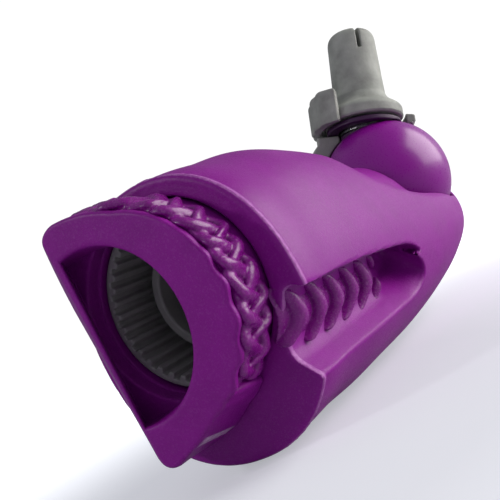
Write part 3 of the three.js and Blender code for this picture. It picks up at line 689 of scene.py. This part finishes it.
def hood_braid(x, y, z):
    """The plait round the hood: it starts as flat ridges and stands higher towards its lower end."""
    along, height = band_place(x, z)
    woven = 0.5 * (along - BAND_STRAIGHT + np.sqrt((along - BAND_STRAIGHT) ** 2 + 0.5))
    base = 0.16 + 0.16 * blend_in(-along, -4.4, -2.6) - 0.3 * blend_in(-along, -1.3, 0.0)
    base = base + 0.16 * blend_in(along, 0.45 * BAND_LENGTH, 0.8 * BAND_LENGTH)
    wander = 0.07 * np.sin(2.3 * along + 1.1) + 0.05 * np.sin(5.1 * along)
    across = y - BAND_MIDDLE + wander
    strands = plait(woven + wander, across, height - base, **BAND_PLAIT)
    inside = smooth_max(slab(along, 0.6, BAND_LENGTH), BAND_FLOOR - height, 0.2)
    bed = smooth_max(slab(y, *BAND_BED), slab(height, BAND_FLOOR, base - 0.02), 0.1)
    shape = smooth_min(strands, bed, 0.06)
    return smooth_max(smooth_max(shape, inside, 0.15), y + 0.12, 0.1)


CHEVRON = {"spacing": 1.95, "upper": 1.15, "lower": 1.25, "bulge": 0.85, "slant": 0.85,
           "cord": (0.32, 0.4)}
CHEVRON_REACH = (-0.25, 10.3)  # along the drive axis
CHEVRON_BED = {"across": (-1.1, 1.1), "height": (-0.2, 0.0)}


def side_braid(x, y, z):
    """Chevrons that point to the head: bowed cords above the middle, short slanting bars below it."""
    height, across = channel_frame(x, z)
    across = across - 0.1 + 0.075 * y
    floor_slope = 0.25 * np.clip(0.5 - across, -0.5, 2)
    height = height - CHANNEL_FLOOR - floor_slope + 0.3 * blend_in(-y, -1.0, 0.5)
    bow = CHEVRON["bulge"] * (1 - (across / CHEVRON["upper"] - 0.15) ** 2)
    bar = CHEVRON["bulge"] + CHEVRON["slant"] * across
    shift = -smooth_max(-bow, -bar, 0.1)
    place = (y - shift) / CHEVRON["spacing"]
    gap = np.abs(place - np.round(place)) * CHEVRON["spacing"]
    narrow = 1 - 0.35 * blend_in(-across, -0.1, 0.5)
    half, thick = CHEVRON["cord"]
    height = height - 0.14 * np.cos(2.6 * across)
    size = np.sqrt((gap * 0.75 / (half * narrow)) ** 2 + ((height - 0.1) / thick) ** 2 + 1e-9)
    cords = smooth_max((size - 1) * thick, slab(across, -CHEVRON["lower"], CHEVRON["upper"]), 0.3)
    bed = smooth_max(slab(across, *CHEVRON_BED["across"]), slab(height, *CHEVRON_BED["height"]), 0.15)
    return smooth_max(smooth_min(cords, bed, 0.05), slab(y, *CHEVRON_REACH), 0.3)


# ---- drive socket -------------------------------------------------------------------------------
SOCKET = {"radius": 3.88, "back": 8.0, "root": 3.62, "tooth": 0.24, "flutes": 36, "flute_end": 6.6}
BOSS = {"outer": 2.73, "bore": 2.28, "front": 1.82, "back": 7.0, "hole": 1.3}


def drive_socket(x, y, z):
    radius = np.hypot(x, z)
    turn = np.arctan2(z, x) * SOCKET["flutes"] / (2 * math.pi)
    tooth = np.abs((turn - np.floor(turn)) - 0.5) * 2
    wall = SOCKET["root"] - SOCKET["tooth"] * blend_in(tooth, 0.35, 0.65)
    flutes = np.maximum((wall - radius) * -0.8, y - SOCKET["flute_end"])
    shape = smooth_max(radius - SOCKET["radius"], slab(y, 0, SOCKET["back"]), 0.12)
    shape = smooth_max(shape, -flutes, 0.07)
    ring = smooth_max(radius - BOSS["outer"], BOSS["bore"] - radius, 0.1)
    boss = smooth_max(ring, slab(y, BOSS["front"], BOSS["back"]), 0.12)
    return np.maximum(np.minimum(shape, boss), BOSS["hole"] - radius)


# ---- head ---------------------------------------------------------------------------------------
ROOM_FRONT = 18  # where the rooms for the gears start, along the drive axis
GUARD_GAP = 0.1  # between the ball's skin and what stands behind it


def ball_distance(x, y, z):
    return np.sqrt((x - BALL_CENTRE[0]) ** 2 + (y - BALL_CENTRE[1]) ** 2 + (z - BALL_CENTRE[2]) ** 2)


def ball_front(x, y, z):
    """Distance behind the plane that cuts the guard's skin, positive behind it."""
    offset = [v - c for v, c in zip((x, y, z), BALL_CENTRE)]
    return BALL_CUT - sum(o * f for o, f in zip(offset, BALL_FACING))


def head_ball(x, y, z):
    away = ball_distance(x, y, z)
    side, along, front = leaned(x, y, z)
    skin = smooth_max(away - BALL_OUTER, BALL_INNER - away, 0.1)
    shape = smooth_max(skin, ball_front(x, y, z), 0.15)
    gears = np.maximum(cylinder(x, z, TUNNEL["radius"]), slab(y, ROOM_FRONT, HEAD[1]))
    stem = np.maximum(cylinder(side, front, 1.95), -along)
    return smooth_max(smooth_max(shape, -gears, 0.1), -stem, 0.1)


def guard_room(x, y, z):
    away = ball_distance(x, y, z)
    skin = np.maximum(away - BALL_OUTER - GUARD_GAP, BALL_INNER - GUARD_GAP - away)
    return np.maximum(skin, ball_front(x, y, z) - GUARD_GAP)


YOKE_AZIMUTHS = (40, 250)  # the part of the yoke that stands outside the ball
SHIELD_AZIMUTHS = (-7, 229)
yoke_outline = outline([
    (-1, -2.4), (3.3, -2.4), *curve_points((3.3, -2.4), (4.1, -2.4), (4.3, -1.4), count=8),
    (4.3, 4.0), *curve_points((4.3, 4.0), (4.3, 4.6), (3.65, 5.2), count=8), (3.65, 5.8), (-1, 5.8),
])


def azimuth(side, front):
    """Degrees round the rotor axis: 0 faces the socket, positive turns to the left side."""
    return (270 - np.degrees(np.arctan2(-front, side))) % 360


def sector(side, front, start, end):
    """Rough signed distance to a wedge between two azimuths."""
    middle, half = (start + end) / 2, (end - start) / 2
    away = np.abs((azimuth(side, front) - middle + 180) % 360 - 180) - half
    return np.radians(away) * np.hypot(side, front)


def rotor_yoke(x, y, z):
    side, along, front = leaned(x, y, z)
    radius = np.hypot(side, front)
    housing = yoke_outline(radius, along + 0 * radius)
    behind = ball_distance(x, y, z) - BALL_INNER + GUARD_GAP
    behind = np.minimum(behind, sector(side, front, *YOKE_AZIMUTHS))
    rooms = np.minimum(np.sqrt(radius ** 2 + along ** 2) - 3.05, np.maximum(radius - 1.95, -along))
    drive = np.maximum(cylinder(x, z, GEAR_ROOM["radius"]), slab(y, ROOM_FRONT, HEAD[1]))
    rooms = np.minimum(np.minimum(rooms, drive), guard_room(x, y, z))
    return smooth_max(smooth_max(housing, behind, 0.15), -rooms, 0.1)


SHIELD = {"root": 3.87, "bore": 3.2, "foot": 6.1, "top": 7.5, "flat": 3.6, "flat_azimuth": 14}
RIB = {"height": 0.09, "pitch": 18.6, "phase": 7}  # pitch and phase in degrees


def flange_shield(x, y, z):
    side, along, front = leaned(x, y, z)
    radius = np.hypot(side, front)
    ribs = np.cos(np.radians(azimuth(side, front) + RIB["phase"]) * 360 / RIB["pitch"])
    outside = radius - SHIELD["root"] - RIB["height"] * np.sqrt(np.clip(0.5 + 0.5 * ribs, 0, 1))
    ring = smooth_max(outside, SHIELD["bore"] - radius, 0.12)
    top = (along - SHIELD["top"] - 0.3 * front) / 1.044
    shape = smooth_max(ring, np.maximum(top, SHIELD["foot"] - along), 0.15)
    shape = smooth_max(shape, sector(side, front, *SHIELD_AZIMUTHS), 0.15)
    turn = math.radians(270 + SHIELD["flat_azimuth"])
    face = math.cos(turn) * side - math.sin(turn) * front - SHIELD["flat"]
    return smooth_max(shape, face, 0.1)


# A ring under the shield; its near-black colour is painted shade, for the shadow under the flange.
def head_cap_plate(x, y, z):
    side, along, front = leaned(x, y, z)
    radius = np.hypot(side, front)
    ring = smooth_max(smooth_max(radius - 2.8, 1.95 - radius, 0.05), slab(along, 5.9, 6.25), 0.1)
    room = ball_distance(x, y, z) - BALL_OUTER - GUARD_GAP
    room = np.maximum(room, ball_front(x, y, z) - GUARD_GAP)
    return smooth_max(ring, -room, 0.05)


rotor_outline = outline([
    (-1, 1.4), (1.1, 1.4), (1.1, 6.45), (2.9, 6.45), (3.02, 6.57), (3.02, 7.1),
    *curve_points((3.02, 7.1), (3.0, 7.35), (2.6, 7.6), count=5),
    *curve_points((2.6, 7.6), (2.1, 7.95), (1.95, 8.5), count=6),
    (1.8, 12.9), *curve_points((1.8, 12.9), (1.75, 13.62), (1.1, 13.7), count=8), (-1, 13.7),
])


POST_SLOT = {"azimuth": 55, "half": 0.14, "foot": 11.9, "core": 0.9}


def cup_rotor(x, y, z):
    side, along, front = leaned(x, y, z)
    radius = np.hypot(side, front)
    shape = rotor_outline(radius, along + 0 * radius)
    turn = math.radians(270 + POST_SLOT["azimuth"])
    across = math.sin(turn) * side + math.cos(turn) * front
    outward = math.cos(turn) * side - math.sin(turn) * front
    slot = smooth_max(np.abs(across) - POST_SLOT["half"], POST_SLOT["foot"] - along, 0.1)
    slot = smooth_max(slot, POST_SLOT["core"] - outward, 0.1)
    return smooth_max(shape, -slot, 0.12)


# ---- pieces -------------------------------------------------------------------------------------
def around(node_name, margin):
    low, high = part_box(node_name)
    return np.array(low) / MM - margin, np.array(high) / MM + margin


def around_both(first, second, margin):
    low_a, high_a = around(first, margin)
    low_b, high_b = around(second, margin)
    return np.minimum(low_a, low_b), np.maximum(high_a, high_b)


def make(name, field, step, body, nodes, material, margin=0.3):
    low, high = around_both(nodes[0], nodes[-1], margin)
    return carve(name, field, low, high, step, body, nodes, material)


make("shell_skin", outer_shell, 0.17, "housing", ["outer_shell"], rim_purple)
make("cover_skin", side_cover, 0.12, "housing", ["side_cover"], satin_purple)
make("hood_skin", front_hood, 0.09, "housing", ["front_hood"], hood_purple)
carve("hood_plait", hood_braid, (-3.0, -2.6, -4.6), (5.2, 0.2, 5.9), 0.06, "housing",
      ["hood_braid_front", "hood_braid_rear"], braid_purple)
carve("side_plait", side_braid, (2.4, -0.6, -6.0), (6.2, 10.2, -1.0), 0.06, "housing",
      ["side_braid_upper", "side_braid_lower"], braid_purple)
make("socket_skin", drive_socket, 0.09, "drive", ["drive_socket"], socket_grey)
make("ball_skin", head_ball, 0.1, "housing", ["head_ball"], gloss_purple)
make("yoke_skin", rotor_yoke, 0.1, "housing", ["rotor_yoke"], grey_plastic)
make("shield_skin", flange_shield, 0.06, "housing", ["flange_shield"], grey_plastic)
make("cap_skin", head_cap_plate, 0.06, "housing", ["head_cap_plate"], dark_purple)
make("rotor_skin", cup_rotor, 0.07, "rotor", ["cup_rotor"], grey_plastic)

# CAD nodes that show as they are, with their finish
KEPT = {
    grey_plastic: ["drive_shaft", "bushing_spacer"],
    white_plastic: ["cover_pin_1", "cover_pin_2", "drive_gear", "rotor_gear", "front_bushing",
                    "rear_bushing"],
    # the rotor bushing in near-black purple: painted shade
    dark_purple: ["rotor_bushing"],
    steel: ["socket_thrust_washer", "gear_thrust_washer", "shaft_retaining_ring", "rotor_thrust_washer"],
    black_rubber: ["rotor_seal_ring"],
}
for material, names in KEPT.items():
    for name in names:
        mesh = frame["nodes"][name].data
        mesh.materials.clear()
        mesh.materials.append(material)


# ---- camera ---------------------------------------------------------------------------------------
def direction(azimuth_deg, elevation_deg):
    """From the target to the camera: azimuth 0 looks along +Y, positive moves to +X."""
    a, e = math.radians(azimuth_deg), math.radians(elevation_deg)
    return Vector((math.sin(a) * math.cos(e), -math.cos(a) * math.cos(e), math.sin(e)))


CAMERA_AZIMUTH, CAMERA_ELEVATION, CAMERA_ROLL = 31, -3, -28
CAMERA_PLACE = Vector((18.320, -23.354, -1.085)) * MM
back = direction(CAMERA_AZIMUTH, CAMERA_ELEVATION)
level_right = Vector((0, 0, 1)).cross(back).normalized()
level_up = back.cross(level_right)
roll = math.radians(CAMERA_ROLL)
right = math.cos(roll) * level_right + math.sin(roll) * level_up
up = back.cross(right)
print("camera axes", right, up, back)

camera_data = bpy.data.cameras.new("camera")
camera_data.lens = 50.4
camera_data.sensor_width = 36
camera_data.clip_start = 0.5 * MM
camera_data.clip_end = 20
camera = bpy.data.objects.new("camera", camera_data)
camera.matrix_world = Matrix((right, up, back)).transposed().to_4x4()
camera.matrix_world.translation = CAMERA_PLACE
bpy.context.scene.collection.objects.link(camera)
bpy.context.scene.camera = camera


# ---- floor and light --------------------------------------------------------------------------------
def floor():
    """A plain pale floor with a painted glow that only the camera sees, dimmer near the object as
    painted shade round it and white far off, added over the floor's own lighting and the object's real
    shadow.
    """
    size, drop = 3.0, SHELL_LOW[2] - 0.15
    mesh = bpy.data.meshes.new("floor")
    corners = [(-size, -size), (size, -size), (size, size), (-size, size)]
    mesh.from_pydata([(x, y, drop * MM) for x, y in corners], [], [(0, 1, 2, 3)])
    material = bpy.data.materials.new("floor")
    material.use_nodes = True
    tree = material.node_tree
    shader = tree.nodes["Principled BSDF"]
    shader.inputs["Base Color"].default_value = (0.6, 0.6, 0.64, 1)
    shader.inputs["Roughness"].default_value = 0.9
    shader.inputs["Specular IOR Level"].default_value = 0.0
    painted_glow = node(tree, "ShaderNodeEmission", Color=(0.92, 0.95, 1.0, 1))
    reach = tree.nodes.new("ShaderNodeVectorMath")
    reach.operation = "LENGTH"
    tree.links.new(grain_coordinates(tree), reach.inputs[0])
    # the painted glow rises from dim near the object to white far off
    tree.links.new(spread(tree, reach.outputs["Value"], 14, 52, 0.42, 1.05), painted_glow.inputs["Strength"])
    path = tree.nodes.new("ShaderNodeLightPath")
    seen = tree.nodes.new("ShaderNodeMixShader")
    both = tree.nodes.new("ShaderNodeAddShader")
    tree.links.new(shader.outputs[0], both.inputs[0])
    tree.links.new(painted_glow.outputs[0], both.inputs[1])
    tree.links.new(path.outputs["Is Camera Ray"], seen.inputs["Fac"])
    tree.links.new(shader.outputs[0], seen.inputs[1])
    tree.links.new(both.outputs[0], seen.inputs[2])
    tree.links.new(seen.outputs[0], tree.nodes["Material Output"].inputs["Surface"])
    mesh.materials.append(material)
    plane = bpy.data.objects.new("floor", mesh)
    bpy.context.scene.collection.objects.link(plane)


def softbox(name, toward, distance, size, power, colour=(1, 1, 1)):
    """An area light in a direction given on the camera's right, up and back axes."""
    target = Vector((0.5, 14, 0)) * MM
    offset = (toward[0] * right + toward[1] * up + toward[2] * back).normalized()
    data = bpy.data.lights.new(name, "AREA")
    data.shape = "RECTANGLE"
    data.size, data.size_y = size[0] * MM, size[1] * MM
    data.energy = power
    data.color = colour
    lamp = bpy.data.objects.new(name, data)
    lamp.location = target + offset * distance * MM
    lamp.rotation_euler = offset.to_track_quat("Z", "Y").to_euler()
    bpy.context.scene.collection.objects.link(lamp)


def surroundings(stops, colour):
    """A pale room, brighter to the lower right behind the object, and white to the camera."""
    world = bpy.data.worlds.new("surroundings")
    bpy.context.scene.world = world
    world.use_nodes = True
    tree = world.node_tree
    place = tree.nodes.new("ShaderNodeTexCoord")
    facing = tree.nodes.new("ShaderNodeVectorMath")
    facing.operation = "DOT_PRODUCT"
    facing.inputs[1].default_value = tuple((0.85 * right - 0.3 * up - 0.45 * back).normalized())
    tree.links.new(place.outputs["Generated"], facing.inputs[0])
    share = spread(tree, facing.outputs["Value"], -1, 1, 0, 1)
    tint = [(at, tuple(level * c for c in colour)) for at, level in stops]
    dim = tree.nodes["Background"]
    tree.links.new(ramp(tree, share, tint), dim.inputs["Color"])
    seen = tree.nodes.new("ShaderNodeBackground")
    seen.inputs["Color"].default_value = (1, 1, 1, 1)
    seen.inputs["Strength"].default_value = 1.05
    path = tree.nodes.new("ShaderNodeLightPath")
    mix = tree.nodes.new("ShaderNodeMixShader")
    tree.links.new(path.outputs["Is Camera Ray"], mix.inputs["Fac"])
    tree.links.new(dim.outputs[0], mix.inputs[1])
    tree.links.new(seen.outputs[0], mix.inputs[2])
    tree.links.new(mix.outputs[0], tree.nodes["World Output"].inputs["Surface"])


WARM_WHITE, COOL_WHITE = (1, 0.97, 0.94), (0.94, 0.95, 1.06)
floor()
surroundings([(0.2, 0.3), (0.4, 0.14), (0.6, 0.2), (0.92, 0.6)], COOL_WHITE)
softbox("window", (0.72, 0.68, -0.08), 160, (150, 130), 0.31, WARM_WHITE)
softbox("lamp_left", (-0.93, 0.08, 0.37), 150, (12, 12), 0.03)
softbox("lamp_right", (0.89, 0.085, 0.46), 150, (12, 12), 0.03)
bpy.context.scene.view_settings.view_transform = "Standard"
